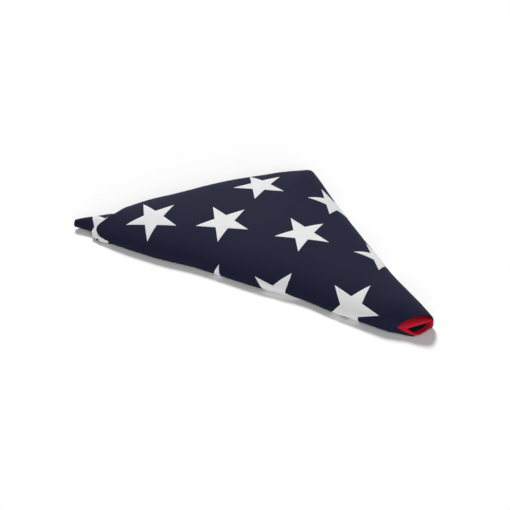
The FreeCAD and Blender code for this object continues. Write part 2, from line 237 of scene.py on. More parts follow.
def lighter(value, share):
    return tuple(min(1.0, part * share) for part in value)


def woven_cloth(name, base, pitch, turn, sheen, layer=None):
    """Plain woven cloth: crossed yarns, slubs, a little uneven dye and a soft sheen."""
    shader = Shader(bpy.data.materials.new(name))
    vector = shader.uv(layer) if layer else shader.place()
    warp, weft = shader.threads(vector, pitch, turn)
    cloudy = shader.noise(shader.place(), 24.0)
    slub = shader.noise(vector, 900.0, 2.0)
    weave = warp.math("MAXIMUM", weft)
    dye = shader.mix(cloudy, rgba(lighter(base, 0.88)), rgba(lighter(base, 1.12)))
    yarn = shader.mix(weave * 0.35 + slub * 0.25, rgba(lighter(base, 0.85)), dye)
    bump = shader.node("ShaderNodeBump", {}, {
        "Strength": 0.35,
        "Distance": 0.12 * MM,
        "Height": weave * 0.7 + slub * 0.5,
    })
    return shader.finish(shader.node("ShaderNodeBsdfPrincipled", {}, {
        "Base Color": yarn,
        "Roughness": cloudy * 0.12 + 0.76,
        "Normal": bump,
        "Specular IOR Level": 0.12,
        "Sheen Weight": sheen,
        "Sheen Roughness": 0.45,
        "Sheen Tint": rgba(lighter(base, 4.0)),
    }))


def star_thread(name, base):
    """Dense satin stitch: rows of bright thread laid across each arm of the star."""
    shader = Shader(bpy.data.materials.new(name))
    rows, runs = shader.threads(shader.uv("stitch"), 0.55 * MM, math.radians(12))
    patchy = shader.noise(shader.place(), 160.0)
    thread = shader.mix(rows * 0.5 + patchy * 0.4, rgba(lighter(base, 0.90)), rgba(lighter(base, 1.06)))
    bump = shader.node("ShaderNodeBump", {}, {
        "Strength": 0.5,
        "Distance": 0.15 * MM,
        "Height": rows + runs * 0.15,
    })
    return shader.finish(shader.node("ShaderNodeBsdfPrincipled", {}, {
        "Base Color": thread,
        "Roughness": patchy * 0.15 + 0.5,
        "Normal": bump,
        "Specular IOR Level": 0.35,
        "Sheen Weight": 0.15,
    }))


def polished_brass(name, base):
    """Brass with small worn patches."""
    shader = Shader(bpy.data.materials.new(name))
    worn = shader.noise(shader.place(), 320.0)
    tint = shader.mix(worn, rgba(lighter(base, 0.8)), rgba(lighter(base, 1.1)))
    return shader.finish(shader.node("ShaderNodeBsdfPrincipled", {}, {
        "Base Color": tint,
        "Metallic": 1.0,
        "Roughness": worn * 0.2 + 0.22,
    }))


def studio_floor(name, base):
    """Pale floor that the camera sees as white and that still takes the shadow."""
    shader = Shader(bpy.data.materials.new(name))
    path = shader.node("ShaderNodeLightPath", {}, {}, "Is Camera Ray")
    seen = path
    for kind in ("Is Glossy Ray", "Is Transmission Ray"):
        seen = seen.math("MAXIMUM", path.out(kind))
    tint = shader.mix(seen, rgba(base), WHITE)
    return shader.finish(shader.node("ShaderNodeBsdfDiffuse", {}, {"Color": tint}))


def studio_world(name, level):
    """Even sky that lights at a level and that the camera sees as white."""
    shader = Shader(bpy.data.worlds.new(name), "ShaderNodeOutputWorld")
    seen = shader.node("ShaderNodeLightPath", {}, {}, "Is Camera Ray")
    strength = seen * (1 - level) + level
    return shader.finish(shader.node("ShaderNodeBackground", {}, {"Color": WHITE, "Strength": strength}))


# The pack's surface


# Along X, in millimetres: how steep each side is
LEFT_FULLNESS = ((-200, 1.7), (-165, 1.0), (-122, 1.85), (-80, 2.6), (-40, 2.1), (-14, 1.45))
RIGHT_FULLNESS = ((-14, 1.5), (50, 1.2), (110, 1.25), (195, 2.3))
FRONT_FULLNESS = ((-200, 1.7), (-165, 1.0), (-120, 1.45), (120, 1.45), (165, 1.9), (195, 2.2))
# How far the right leg and the front fold wave outwards, and the front fold of the turn inside
RIGHT_WAVES = ((-14, 1.2), (50, -1.8), (120, -1.8), (200, 1.2))
FRONT_WAVES = (
    (-160, 1.6), (-134, 2.6), (-116, 3.0), (-93, 2.8), (-38, -1.2), (17, 0.0), (68, -2.6),
    (111, 1.6), (135, 2.4), (150, 3.0), (160, 0.6), (168, -2.0),
)
TIP_WAVES = (
    (-195, -5.0), (-168, -4.8), (-161, 1.6), (-152, 3.4), (-142, 3.2), (-128, 1.2), (-116, -0.6),
)
# How far the widest line sinks, where the tip of the turn inside lies under the tongue
TIP_SINK = ((-168, 0.0), (-160, 2.3))
NO_SINK = ((-200, 0.0), (200, 0.0))


def eased(along, knots):
    """Values between given knots, with an easy rise from each to the next."""
    places = np.array([place * MM for place, _ in knots])
    values = np.array([value for _, value in knots])
    index = np.clip(np.searchsorted(places, along) - 1, 0, len(places) - 2)
    share = np.clip((along - places[index]) / (places[index + 1] - places[index]), 0, 1)
    share = share * share * (3 - 2 * share)
    return values[index] + (values[index + 1] - values[index]) * share


def soft_least(one, two, ease):
    """The smaller of two values, with a soft change between them, and the first one's share in it."""
    near = np.minimum(one, two)
    by_one = np.exp((near - one) / ease)
    both = by_one + np.exp((near - two) / ease)
    return near - ease * np.log(both), by_one / both


class Side:
    """One side of the sharp outline, walked anticlockwise, with a bow outwards along it."""

    def __init__(self, start, end, bow):
        self.start = start
        self.span = float(np.linalg.norm(end - start))
        self.way = (end - start) / self.span
        self.inward = np.array((-self.way[1], self.way[0]))
        self.bow = bow

    def depth(self, plan):
        along = np.clip((plan - self.start) @ self.way / self.span, 0, 1)
        return (plan - self.start) @ self.inward + self.bow * 4 * along * (1 - along)


# How softly the apex and the ridges between the sides are rounded
APEX_EASE = 1.6 * MM
RIDGE_EASE = 1.5 * MM
# How far past the sharp outline an edge is looked for, and how often the gap is halved
EDGE_SEARCH = 20 * MM
HALVINGS = 40


class Pack:
    """Outer face of the pack, or of a turn that lies a little inside it."""

    def __init__(self, shape, inside=0.0, front_waves=FRONT_WAVES, sink=NO_SINK):
        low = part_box("canton")[0]
        left = np.array((low.x - shape.left_tip_cut, low.y))
        right = left + (shape.left_run + shape.right_run, 0)
        apex = left + (shape.left_run, shape.fold_height)
        self.shape = shape
        self.inside = inside
        self.front_waves = front_waves
        self.sink = sink
        self.left_tip, self.right_tip, self.apex = left, right, apex
        self.front = Side(left, right, 0.0)
        self.right = Side(right, apex, 0.0)
        self.left = Side(apex, left, shape.left_bow)

    def rise(self, along, depth, fullness):
        """Height of the face at a depth inside an edge, from the widest line up."""
        room = (self.shape.crown_height - self.shape.bulge_height) * self.shape.crown_ease
        power = 1 / (fullness * self.shape.fullness)
        share = (1 - np.exp(-np.maximum(depth, 0) / self.shape.crown_reach)) ** power
        widest = self.shape.bulge_height - eased(along, self.sink) * MM
        return widest + (room - self.inside) * share

    def front_depth(self, plan):
        return self.front.depth(plan) + eased(plan[..., 0], self.front_waves) * MM

    def back_depth(self, plan):
        """Depth inside the two legs, rounded at the apex, and the fullness there."""
        right = self.right.depth(plan) + eased(plan[..., 0], RIGHT_WAVES) * MM - self.inside
        left = self.left.depth(plan) - self.inside
        depth, by_right = soft_least(right, left, APEX_EASE)
        fullness_right = eased(plan[..., 0], RIGHT_FULLNESS)
        fullness_left = eased(plan[..., 0], LEFT_FULLNESS)
        return depth, by_right * fullness_right + (1 - by_right) * fullness_left

    def crown(self, plan):
        """Height of the face over points in plan."""
        along = plan[..., 0]
        front = self.rise(along, self.front_depth(plan), eased(along, FRONT_FULLNESS))
        back = self.rise(along, *self.back_depth(plan))
        return soft_least(front, back, RIDGE_EASE)[0]

    def edge(self, along, depth_of, low, high):
        """Outline points at places along X, where a depth function is nothing between two heights."""
        low = np.full(len(along), low)
        high = np.full(len(along), high)
        for _ in range(HALVINGS):
            middle = (low + high) / 2
            inner = depth_of(np.stack((along, middle), -1)) > 0
            low, high = np.where(inner, middle, low), np.where(inner, high, middle)
        return np.stack((along, (low + high) / 2), -1)

    def front_edge(self, along):
        inner = self.apex[1] - self.shape.fold_height / 2
        return self.edge(along, self.front_depth, inner, self.left_tip[1] - EDGE_SEARCH)

    def back_edge(self, along):
        inner = self.left_tip[1] + self.inside
        return self.edge(along, lambda plan: self.back_depth(plan)[0], inner, self.apex[1] + EDGE_SEARCH)


def even_steps(points, count):
    """Points evenly spaced along a line of points."""
    walked = np.concatenate(((0,), np.cumsum(np.linalg.norm(np.diff(points, axis=0), axis=1))))
    places = np.linspace(0, walked[-1], count)
    return np.stack([np.interp(places, walked, points[:, axis]) for axis in range(2)], -1)


def smooth_line(points, steps=8):
    """A smooth line through given points."""
    points = np.array(points, float)
    ends = np.concatenate((2 * points[:1] - points[1:2], points, 2 * points[-1:] - points[-2:-1]))
    found = []
    for before, start, end, after in zip(ends, ends[1:], ends[2:], ends[3:]):
        for share in np.arange(steps) / steps:
            bend = (2 * before - 5 * start + 4 * end - after) * share ** 2
            twist = (3 * start - before - 3 * end + after) * share ** 3
            found.append(start + ((end - before) * share + bend + twist) / 2)
    return np.array(found + [points[-1]])


def inward_of(line, flip):
    """Unit vectors square to a line of points."""
    way = np.gradient(line, axis=0)
    way /= np.linalg.norm(way, axis=1)[:, None]
    return np.stack((-way[:, 1], way[:, 0]), -1) * flip


def along_line(line, shares):
    """Points at shares of a line of points."""
    level = np.linspace(0, 1, len(line))
    return np.stack([np.interp(shares, level, line[:, axis]) for axis in range(2)], -1)


def coons(front, back, left, right, across):
    """Plan of a patch between four border lines; across holds each column's shares from front to back."""
    count = len(front)
    along = np.linspace(0, 1, count)[:, None, None]
    share = across[..., None]
    left_at = along_line(left, across)
    right_at = along_line(right, across)
    ruled = (1 - share) * front[:, None] + share * back[:, None]
    sides = (1 - along) * left_at + along * right_at
    corner_left = (1 - share) * front[0] + share * back[0]
    corner_right = (1 - share) * front[-1] + share * back[-1]
    return ruled + sides - (1 - along) * corner_left - along * corner_right


def straight(start, end, count=2):
    return start + (end - start) * np.linspace(0, 1, count)[:, None]


def fitted(line, start, end):
    """A border line shifted smoothly so that its ends meet two corners."""
    share = np.linspace(0, 1, len(line))[:, None]
    return line + (1 - share) * (start - line[0]) + share * (end - line[-1])


def grid_faces(lines, points, closed=False):
    """Quads between lines of points, each of which may be a closed loop."""
    found = []
    for line in range(lines - 1):
        for point in range(points if closed else points - 1):
            here = line * points + point
            after = line * points + (point + 1) % points
            found.append((here, here + points, after + points, after))
    return found


def flipped(faces):
    """The same faces seen from the other side, from the same first corners."""
    return [(face[0], *face[:0:-1]) for face in faces]


# Rows over the pack: crowded towards each edge within a depth, which is at most a share of the width
EDGE_DEPTH = 12 * MM
EDGE_SHARE = 0.3
EDGE_ROWS = 26
FRONT_CROWDING = 1.8
BACK_CROWDING = 2.6
MIDDLE_ROWS = 54
# Rows round the rims and over the underside, and the share of the width that a rim may draw in
RIM_ROWS = 7
UNDER_ROWS = 30
RIM_SHARE = 0.25
# A rim's reach past the top's right end fades in over one part in this many of its columns
REACH_PARTS = 6


def edge_shares(front, back):
    """Shares across each column: close rows where the crown is steep, even rows between."""
    width = np.linalg.norm(back - front, axis=1)[:, None]
    deep = np.minimum(EDGE_DEPTH, EDGE_SHARE * width) / width
    step = np.linspace(0, 1, EDGE_ROWS)[None]
    front_part = deep * step ** FRONT_CROWDING
    back_part = 1 - deep * step[:, ::-1] ** BACK_CROWDING
    middle = np.linspace(0, 1, MIDDLE_ROWS + 2)[None, 1:-1]
    middle_part = deep + (1 - 2 * deep) * middle
    return np.concatenate((front_part, middle_part, back_part), axis=1)


class Wrap:
    """Grid of points round the pack: columns along it, and closed rows over the top and back below."""

    def __init__(self, pack, front, back, left, right, foot, end_front=None, end_back=None):
        self.pack = pack
        self.foot = foot
        plan = coons(front, back, left, right, edge_shares(front, back))
        top = np.dstack((plan, pack.crown(plan)))
        width = np.linalg.norm(back - front, axis=1)[:, None]
        inset = np.minimum(pack.shape.foot_inset, RIM_SHARE * width)
        front_rim = self.rim(front, 1, top[:, 0, 2], inset, end_front)
        back_rim = self.rim(back, -1, top[:, -1, 2], inset, end_back)
        front_foot = front_rim[:, -1, :2]
        back_foot = back_rim[:, -1, :2]
        shares = np.tile(np.linspace(0, 1, UNDER_ROWS + 2)[1:-1], (len(front), 1))
        left_foot = fitted(left, front_foot[0], back_foot[0])
        right_foot = straight(front_foot[-1], back_foot[-1])
        under_plan = coons(front_foot, back_foot, left_foot, right_foot, shares)
        under = np.dstack((under_plan, np.full(under_plan.shape[:2], foot)))
        self.points = np.concatenate((top, back_rim, under[:, ::-1], front_rim[:, ::-1]), axis=1)

    def rim(self, line, flip, edge, inset, end):
        """Rows from an edge of the top round to the foot, whose last column may reach out to an end."""
        reach = np.clip(np.linspace(0, 1, len(line)) * REACH_PARTS - (REACH_PARTS - 1), 0, 1)[:, None] ** 2
        shift = np.zeros(2) if end is None else end - line[-1]
        inward = inward_of(line, flip)
        rows = []
        for turn in np.linspace(0, math.pi / 2, RIM_ROWS + 1)[1:]:
            drawn = (1 - math.cos(turn)) * inset
            spot = line + inward * drawn + reach * shift * math.sin(turn)
            height = self.foot + (edge - self.foot) * (1 - math.sin(turn))
            rows.append(np.column_stack((spot, height)))
        return np.stack(rows, 1)

    def faces(self):
        return grid_faces(*self.points.shape[:2], closed=True)

    def tree(self):
        return BVHTree.FromPolygons([tuple(point) for point in self.points.reshape(-1, 3)], self.faces())

    def normals(self):
        along = np.gradient(self.points, axis=0)
        looped = np.concatenate((self.points[:, -1:], self.points, self.points[:, :1]), axis=1)
        around = (looped[:, 2:] - looped[:, :-2]) / 2
        facing = np.cross(along, around)
        return facing / np.maximum(np.linalg.norm(facing, axis=2), 1e-12)[..., None]


# Mesh helpers


def mesh_object(name, points, faces):
    """A new object at the origin, from points in metres."""
    mesh = bpy.data.meshes.new(name)
    mesh.from_pydata([tuple(point) for point in points], [], faces)
    made = bpy.data.objects.new(name, mesh)
    bpy.context.scene.collection.objects.link(made)
    return made


def choose(obj):
    """Selects one object alone and makes it active."""
    bpy.ops.object.select_all(action="DESELECT")
    obj.select_set(True)
    bpy.context.view_layer.objects.active = obj


def modify(obj, kind, **settings):
    """Adds a modifier and applies it."""
    choose(obj)
    modifier = obj.modifiers.new(kind.title(), kind)
    for key, value in settings.items():
        setattr(modifier, key, value)
    bpy.ops.object.modifier_apply(modifier=modifier.name)


def paint_uv(obj, layer, values):
    """Gives each vertex its place on the cloth, in metres, as a UV map."""
    uv = obj.data.uv_layers.new(name=layer)
    corners = np.zeros(len(obj.data.loops), int)
    obj.data.loops.foreach_get("vertex_index", corners)
    uv.data.foreach_set("uv", np.asarray(values, np.float32)[corners].ravel())


def soften(obj, width):
    """Rounds the sharp edges of a piece of cloth."""
    limit = math.radians(55)
    modify(obj, "BEVEL", width=width, segments=2, limit_method="ANGLE", angle_limit=limit)


def smooth(obj, degrees):
    """Shades a piece smooth, except where its faces meet at more than an angle."""
    choose(obj)
    bpy.ops.object.shade_smooth_by_angle(angle=math.radians(degrees))


def dress(obj, material, slot, *nodes):
    """Gives a finished piece its material and its body, and hides the nodes that it stands for."""
    obj.data.materials.clear()
    obj.data.materials.append(material)
    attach(obj, BODY)
    if nodes:
        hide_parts(*nodes)
    return obj


def finish_named(name, make, *values, **named):
    """A material by name, made once."""
    found = bpy.data.materials.get(name)
    return found if found else make(name, *values, **named)


# Pitch of the yarns in the flag's cloth, and the way that those of the stripes run, along the left leg
YARN_PITCH = 0.7 * MM
STRIPE_TURN = math.radians(46.6)


def navy_cloth():
    """Cloth of the canton, whose yarns follow its folds."""
    base = bpy.context.scene.folded_flag_colours.navy
    turn = bpy.context.scene.folded_star_shape.turn
    return finish_named("navy_bunting", woven_cloth, base, YARN_PITCH, turn, sheen=0.06, layer="cloth")


def cloth_of(name):
    """Cloth for the stripes, by the slot's name."""
    colours = bpy.context.scene.folded_flag_colours
    base = {"red": colours.red, "white": colours.white}[name]
    return finish_named(name + "_bunting", woven_cloth, base, YARN_PITCH, STRIPE_TURN, sheen=0.2)


# Waves of slack cloth per metre, along X, Y and Z, and the share of the height that the fine ones have
BROAD_WAVES = np.array((9, 20, 20))
FINE_WAVES = np.array((34, 60, 60))
FINE_SHARE = 0.3


def wave_at(point, scale, seed):
    x, y, z = point * scale
    return noise.noise(Vector((x, y, z + seed)))


def folded_waves(points, normals, height, seed):
    """Soft waves of slack cloth, longer along the front fold than across it."""
    waves = np.zeros(len(points))
    for index, point in enumerate(points):
        waves[index] = wave_at(point, BROAD_WAVES, seed) + FINE_SHARE * wave_at(point, FINE_WAVES, seed)
    return points + normals * (waves * height)[:, None]


# Heights of the creases between the plies along the left leg, in millimetres, and where they fade out
CREASES = (8.4, 12.6, 17.0)
CREASE_FADE = ((-150, 0.0), (-125, 1.0), (-45, 1.0), (-22, 0.0))
# How deep and wide a crease is, how far inside the leg it ends, and how far and how slowly it wanders
CREASE_DEPTH = 0.9 * MM
CREASE_WIDTH = 0.9 * MM
CREASE_REACH = 14 * MM
WANDER = 0.5 * MM
WANDER_LENGTH = 21 * MM


def leg_creases(pack, points):
    """Depth of the creases between the folded plies that end along the left leg."""
    near = np.clip(1 - pack.left.depth(points[:, :2]) / CREASE_REACH, 0, 1)
    depth = np.zeros(len(points))
    for index, height in enumerate(CREASES):
        wander = WANDER * np.sin(points[:, 0] / WANDER_LENGTH + index * 2)
        off = (points[:, 2] - height * MM - wander) / CREASE_WIDTH
        depth += np.exp(-off * off)
    return depth * near * eased(points[:, 0], CREASE_FADE) * CREASE_DEPTH


def wrap_object(name, wrap, height, seed, floor):
    """Object of a wrap with its waves and creases, kept above a floor height, and its cloth map."""
    flat = wrap.points.reshape(-1, 3)
    normals = wrap.normals().reshape(-1, 3)
    flat = flat - normals * leg_creases(wrap.pack, flat)[:, None]
    waved = folded_waves(flat, normals, height, seed)
    waved[:, 2] = np.maximum(waved[:, 2], floor)
    wrap.points = waved.reshape(wrap.points.shape)
    steps = np.linalg.norm(np.diff(wrap.points, axis=1), axis=2)
    girth = np.concatenate((np.zeros((len(steps), 1)), np.cumsum(steps, axis=1)), axis=1)
    made = mesh_object(name, waved, wrap.faces())
    paint_uv(made, "cloth", np.column_stack((waved[:, 0], girth.ravel())))
    return made


# Pieces


# Edge of the tongue in plan, from the front fold round to the left leg, in millimetres
TONGUE_EDGE = (
    (-146, -97.6), (-152.4, -97.0), (-157.4, -95.4), (-160.4, -93.0), (-160.3, -90), (-157.2, -86),
    (-152.7, -80.3), (-148.8, -75), (-147.6, -70), (-148.2, -58), (-151, -43),
)
# Points along a border line before it is cut into even steps, and along the edge over the open tip
BORDER_POINTS = 400
MOUTH_POINTS = 30
# Bow of the edge over the open tip, and how far its back end and the rim below that end are moved
MOUTH_BOW = 24 * MM
MOUTH_RUN_ON = 2.6 * MM
RIM_BACK_MOVE = np.array((2.0, -0.6)) * MM
# How far inside the blunt left end the turn inside starts
TIP_START = 1.0 * MM


class Layout:
    """The pack and the grids of its turns, worked out once from the settings."""

    OUTER_COLUMNS = 190
    TIP_COLUMNS = 60
    FOOT = 0.6 * MM
    TIP_FOOT = 2.2 * MM

    def __init__(self):
        self.shape = bpy.context.scene.folded_pack_shape
        self.pack = Pack(self.shape)
        self.tip_pack = Pack(self.shape, self.shape.flap_gap, TIP_WAVES, TIP_SINK)
        self.outer = self.outer_wrap()
        self.tip = self.tip_wrap()

    def crossing(self, point, way, side):
        """Where a line through a point meets a side's sharp line."""
        depth = (point - side.start) @ side.inward
        return point - way * depth / float(way @ side.inward)

    def outer_wrap(self):
        """The turn that shows, from its tongue to its edge over the open tip."""
        shape, pack = self.shape, self.pack
        flap_start = pack.left.start + pack.left.inward * shape.strip_fold
        flap_way = -pack.left.way
        flap_front = self.crossing(flap_start, flap_way, pack.front)
        flap_back = self.crossing(flap_start, flap_way, pack.right)
        tongue = smooth_line(TONGUE_EDGE) * MM
        front_x = np.linspace(tongue[0][0], flap_front[0], BORDER_POINTS)
        back_x = np.linspace(tongue[-1][0], flap_back[0] + MOUTH_RUN_ON, BORDER_POINTS)
        front = even_steps(pack.front_edge(front_x), self.OUTER_COLUMNS)
        back = even_steps(pack.back_edge(back_x), self.OUTER_COLUMNS)
        left = fitted(tongue, front[0], back[0])
        share = np.linspace(0, 1, MOUTH_POINTS)[:, None]
        bow = pack.left.inward * MOUTH_BOW * share * share * (1 - share)
        right = straight(front[-1], back[-1], MOUTH_POINTS) + bow
        mouth_front = pack.right_tip - (shape.mouth_cut, 0)
        mouth_along = np.array((math.sin(shape.mouth_lean), math.cos(shape.mouth_lean)))
        mouth_back = self.crossing(mouth_front, mouth_along, pack.right) + RIM_BACK_MOVE
        return Wrap(pack, front, back, left, right, self.FOOT, mouth_front, mouth_back)

    def tip_wrap(self):
        """The end of the turn inside, from the blunt tip to under the outer turn."""
        pack = self.tip_pack
        start = pack.left_tip[0] + self.shape.left_tip_cut + TIP_START
        along = np.linspace(start, start + self.shape.tip_length, self.TIP_COLUMNS)
        front = pack.front_edge(along)
        back = pack.back_edge(along)
        left = straight(front[0], back[0])
        right = straight(front[-1], back[-1])
        return Wrap(pack, front, back, left, right, self.TIP_FOOT)


@cache
def layout():
    """The one layout of this run."""
    return Layout()


class FOLDEDFLAG_OT_outer_turn(bpy.types.Operator):
    """Wraps the navy canton round the pack, from its tongue to the open tip"""

    bl_idname = "folded_flag.outer_turn"
    bl_label = "Canton Outer Turn"

    def execute(self, context):
        plan = layout()
        made = wrap_object("canton_outer_turn", plan.outer, plan.shape.wrinkle, 0.0, plan.FOOT)
        modify(made, "SOLIDIFY", thickness=plan.shape.cloth, offset=-1.0)
        soften(made, 0.35 * MM)
        smooth(made, 60)
        dress(made, navy_cloth(), "navy_cloth", "canton")
        return {"FINISHED"}


# Blunt end of the tip, rolled in: each step's share of its rim, and how far it moves out, in millimetres
TIP_END_STEPS = ((0.93, 0.7), (0.84, 0.5), (0.55, 0.2))
# Waves of the tip's tight cloth, as a share of the pack's, and their seed
TIP_WRINKLE = 0.4
TIP_SEED = 7.0


class FOLDEDFLAG_OT_tip_turn(bpy.types.Operator):
    """Makes the blunt tip of the turn inside, which shows past the tongue"""

    bl_idname = "folded_flag.tip_turn"
    bl_label = "Canton Tip Turn"

    def execute(self, context):
        plan = layout()
        wrap = plan.tip
        height = plan.shape.wrinkle * TIP_WRINKLE
        made = wrap_object("canton_tip_turn", wrap, height, TIP_SEED, plan.TIP_FOOT)
        choose(made)
        bpy.ops.object.mode_set(mode="EDIT")
        bpy.ops.mesh.select_all(action="DESELECT")
        bpy.ops.object.mode_set(mode="OBJECT")
        rows = wrap.points.shape[1]
        for edge in made.data.edges:
            edge.select = max(edge.vertices) < rows
        middle = wrap.points[0].mean(axis=0)
        bpy.ops.object.mode_set(mode="EDIT")
        bpy.ops.mesh.select_mode(type="EDGE")
        for scale, out in TIP_END_STEPS:
            bpy.ops.mesh.extrude_edges_move()
            bpy.ops.transform.resize(value=(scale, scale, scale), center_override=tuple(middle))
            bpy.ops.transform.translate(value=(-out * MM, 0, 0))
        bpy.ops.mesh.edge_face_add()
        bpy.ops.object.mode_set(mode="OBJECT")
        modify(made, "SOLIDIFY", thickness=plan.shape.cloth, offset=-1.0)
        smooth(made, 50)
        dress(made, navy_cloth(), "navy_cloth")
        return {"FINISHED"}


# Stars


STAR_POINTS = 5
RAYS_PER_HALF_ARM = 8
STAR_RINGS = (0.1, 0.2, 0.3, 0.4, 0.48, 0.56, 0.64, 0.72, 0.8, 0.87, 0.93, 0.97, 1.0)
WALK_STEP = 1.2 * MM
# How much of its rise the stitching loses towards its edge, how suddenly, and how deep the edge is sunk
EDGE_DROOP = 0.35
EDGE_DROOP_POWER = 6
EDGE_SINK = 0.25 * MM
# A height that no cloth reaches
NO_CEILING = 1.0


def laid(way, normal):
    """A way turned to lie along a surface."""
    return (way - normal * way.dot(normal)).normalized()


def walk(tree, spot, ways, distance, ceiling=NO_CEILING):
    """Moves over a surface along the first way, up to a ceiling, and carries all the ways along."""
    travelled = 0.0
    spot, normal, _, _ = tree.find_nearest(spot)
    ways = [laid(way, normal) for way in ways]
    while travelled < distance - 1e-7:
        step = min(WALK_STEP, distance - travelled)
        place, normal, _, _ = tree.find_nearest(spot + ways[0] * step)
        travelled += step
        if place.z > ceiling:
            break
        spot = place
        ways = [laid(way, normal) for way in ways]
    return spot, normal, ways


def star_edge(radius, waist, angle):
    """Distance from a star's centre to its outline, at an angle from the middle of an arm."""
    half = math.pi / STAR_POINTS
    return radius * waist * math.sin(half) / (radius * math.sin(angle) + waist * math.sin(half - angle))


def sewn_star(name, tree, spot, up, sizes, waist, ceiling=NO_CEILING):
    """Raised star of satin stitch that follows the cloth, with its stitch map."""
    spot, normal, _, _ = tree.find_nearest(spot)
    up = laid(up, normal)
    side = normal.cross(up)
    half = math.pi / STAR_POINTS
    rays = 2 * STAR_POINTS * RAYS_PER_HALF_ARM
    points = [spot + normal * sizes.rise]
    stitch = [(0.0, 0.0)]
    faces = []
    for ray in range(rays):
        angle = half * ray / RAYS_PER_HALF_ARM
        off_arm = abs((angle + half) % (2 * half) - half)
        edge = star_edge(sizes.radius, waist, off_arm)
        place, face, ways = spot, normal, [up * math.cos(angle) + side * math.sin(angle)]
        gone = 0.0
        for share in STAR_RINGS:
            place, face, ways = walk(tree, place, ways, edge * (share - gone), ceiling)
            gone = share
            puffed = sizes.rise * (1 - EDGE_DROOP * share ** EDGE_DROOP_POWER)
            points.append(place + face * puffed)
            reach = edge * share
            stitch.append((reach * math.cos(off_arm), reach * math.sin(off_arm)))
        points.append(place - face * EDGE_SINK)
        stitch.append(stitch[-1])
    per_ray = len(STAR_RINGS) + 1
    for ray in range(rays):
        this = 1 + ray * per_ray
        after = 1 + (ray + 1) % rays * per_ray
        faces.append((0, this, after))
        for ring in range(per_ray - 1):
            faces.append((this + ring, this + ring + 1, after + ring + 1, after + ring))
    made = mesh_object(name + "_sewn", points, faces)
    paint_uv(made, "stitch", stitch)
    smooth(made, 50)
    thread = finish_named("star_stitch", star_thread, bpy.context.scene.folded_flag_colours.star)
    return dress(made, thread, "star_embroidery", name)


# How far some stars were sewn off the grid, in millimetres
STRAYS = {
    "star_top_3_0": (1, -3),
    "star_top_2_1": (-4.5, 2.5),
    "star_top_1_2": (0, 2),
    "star_top_0_3": (0, -1.5),
    "star_top_1_4": (1.8, -3.4),
    "star_top_2_3": (2, 4.5),
    "star_under_3_2": (11, 7),
}
# How far some stars were sewn askew, in degrees
TWISTS = {"star_top_1_4": -7, "star_top_2_3": -17}
# Stars that wrap up over the front fold from below, and how high above the foot the others stop
FOLD_STARS = ("star_under_3_2",)
UNDER_CEILING = 1.2 * MM


def level_way(turn):
    """Level unit vector at an angle from X."""
    return Vector((math.cos(turn), math.sin(turn), 0))


def grid_place(name, sizes):
    """Place of a star in plan, from the column and row in its name and how far it strays."""
    column, row = (int(part) for part in name.split("_")[2:])
    column_way = np.array((math.sin(sizes.turn), -math.cos(sizes.turn))) * sizes.column_pitch
    row_way = np.array((math.cos(sizes.turn), math.sin(sizes.turn))) * sizes.row_pitch
    place = np.array((sizes.first_x, sizes.first_y)) + column * column_way + row * row_way
    return place + np.array(STRAYS.get(name, (0, 0))) * MM


class FOLDEDFLAG_OT_stars(bpy.types.Operator):
    """Sews the stars on the canton, over its top, round its folds and on its underside"""

    bl_idname = "folded_flag.stars"
    bl_label = "Stars"

    def execute(self, context):
        sizes = context.scene.folded_star_shape
        plan = layout()
        pack = plan.pack
        tree = plan.outer.tree()
        up = level_way(sizes.turn + math.pi)
        for name in sorted(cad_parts):
            if not name.startswith(("star_top_", "star_under_")):
                continue
            under = name.startswith("star_under_")
            place = grid_place(name, sizes)
            in_front = float(pack.front_depth(place)) < float(pack.back_depth(place)[0])
            side = pack.front if in_front or under else pack.right
            # A place past an edge is reached by walking over that edge
            slide = max(plan.shape.foot_inset - float(side.depth(place)), 0.0)
            inside = place + side.inward * slide
            spot = Vector((*inside, float(pack.crown(inside))))
            outward = Vector((*(-side.inward), 0))
            twist = Matrix.Rotation(math.radians(TWISTS.get(name, 0)), 3, "Z")
            spot, _, ways = walk(tree, spot, [outward, twist @ up], slide)
            stays_below = under and name not in FOLD_STARS
            ceiling = plan.FOOT + UNDER_CEILING if stays_below else NO_CEILING
            sewn_star(name, tree, spot, ways[1], sizes, sizes.waist, ceiling)
        place = np.array((sizes.tip_x, sizes.tip_y))
        spot = Vector((*place, float(plan.tip_pack.crown(place))))
        tip_up = level_way(sizes.tip_turn + math.pi / STAR_POINTS)
        sewn_star("star_left_tip", plan.tip.tree(), spot, tip_up, sizes, sizes.tip_waist)
        return {"FINISHED"}


# Red fold in the open tip


def soft_grid(name, rows, thickness):
    """Soft cloth through rows of given points, in millimetres, with a thickness."""
    points = [tuple(value * MM for value in point) for row in rows for point in row]
    made = mesh_object(name, points, flipped(grid_faces(len(rows), len(rows[0]))))
    modify(made, "SUBSURF", levels=3, render_levels=3)
    modify(made, "SOLIDIFY", thickness=thickness, offset=0.0)
    soften(made, thickness * 0.3)
    smooth(made, 60)
    return made


